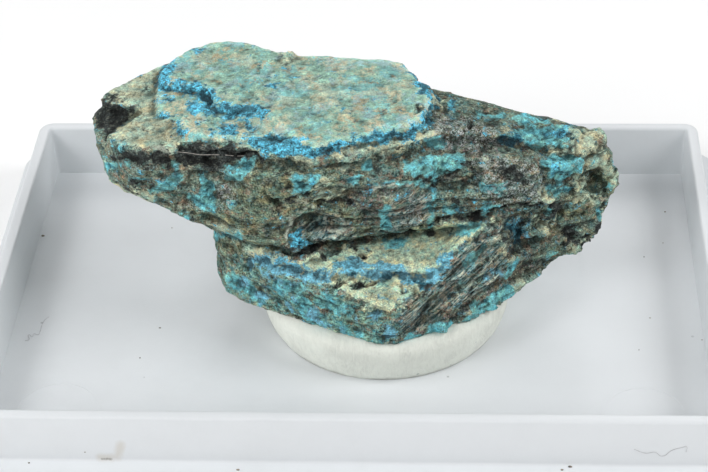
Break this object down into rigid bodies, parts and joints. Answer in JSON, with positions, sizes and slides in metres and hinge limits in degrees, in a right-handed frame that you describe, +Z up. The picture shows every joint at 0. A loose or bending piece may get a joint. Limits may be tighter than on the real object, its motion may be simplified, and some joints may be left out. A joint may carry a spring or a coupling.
{
  "type": "decrespignyite mineral specimen in box base",
  "caption": "Rough slab of layered rock with a blue-green mineral crust, standing on a round pad of white putty in the open white base of a small rectangular specimen box.",
  "frame": {"origin": "middle of the box base's flat underside", "axes": "+X to the viewer's right along the long side of the box, +Y away from the viewer, +Z up"},
  "size_m": [0.044, 0.0312, 0.0146],
  "materials": {
    "box_plastic": "white moulded polystyrene, lightly scuffed and dusty",
    "putty": "cream white putty, dull and finely fibrous",
    "stone": "rough natural rock with a grainy blue-green crust"
  },
  "bodies": {
    "root": {"box_base": "box_plastic", "putty_pad": "putty", "specimen": "stone"}
  },
  "joints": []
}
